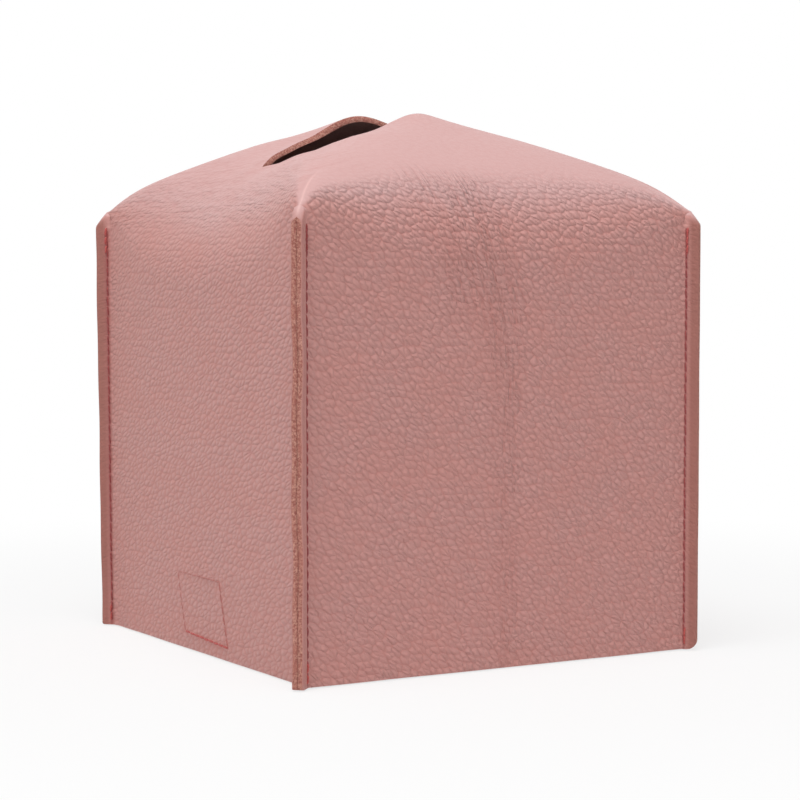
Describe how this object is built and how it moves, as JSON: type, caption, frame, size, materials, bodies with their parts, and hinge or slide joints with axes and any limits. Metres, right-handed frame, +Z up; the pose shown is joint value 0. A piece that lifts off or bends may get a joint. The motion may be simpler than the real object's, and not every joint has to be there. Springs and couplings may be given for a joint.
{
  "type": "tissue box cover",
  "caption": "Soft leather cover for a cube tissue box, with a domed crown, a leaf-shaped slot, sewn corner fins and a hook-and-loop belt across its open bottom.",
  "frame": {"origin": "centre of the cover's footprint, on the plane that its bottom edge rests on", "axes": "+Z up out of the crown, X along the tissue slot, front wall at -Y"},
  "size_m": [0.132, 0.132, 0.1547],
  "materials": {
    "cover_leather": "pebbled pink leather, semi-matt",
    "belt_leather": "pebbled pink leather, semi-matt",
    "thread": "rose sewing thread",
    "hook_tape": "woven tape with moulded hooks",
    "loop_tape": "soft looped tape"
  },
  "bodies": {
    "cover": {"leather_cover": "cover_leather", "front_left_needle_thread": "thread", "front_left_bobbin_thread": "thread", "front_right_needle_thread": "thread", "front_right_bobbin_thread": "thread", "back_right_needle_thread": "thread", "back_right_bobbin_thread": "thread", "back_left_needle_thread": "thread", "back_left_bobbin_thread": "thread", "belt_anchor": "belt_leather", "belt_anchor_needle_thread": "thread", "belt_anchor_bobbin_thread": "thread", "tab_anchor": "belt_leather", "tab_anchor_needle_thread": "thread", "tab_anchor_bobbin_thread": "thread"},
    "belt": {"belt_strap": "belt_leather", "hook_patch": "hook_tape", "hook_patch_needle_thread": "thread", "hook_patch_bobbin_thread": "thread"},
    "tab": {"tab_strap": "belt_leather", "loop_patch": "loop_tape", "loop_patch_needle_thread": "thread", "loop_patch_bobbin_thread": "thread"}
  },
  "joints": [
    {"name": "belt_fold", "type": "hinge", "parent": "cover", "child": "belt", "pos_m": [-0.0603, 0, 0.002], "axis": [0, 1, 0], "range_deg": [0, 90]},
    {"name": "tab_fold", "type": "hinge", "parent": "cover", "child": "tab", "pos_m": [0.0603, 0, 0.0061], "axis": [0, -1, 0], "range_deg": [0, 90]}
  ],
  "couplings": [
    {"joint": "tab_fold", "follows": "belt_fold", "ratio": 1}
  ]
}
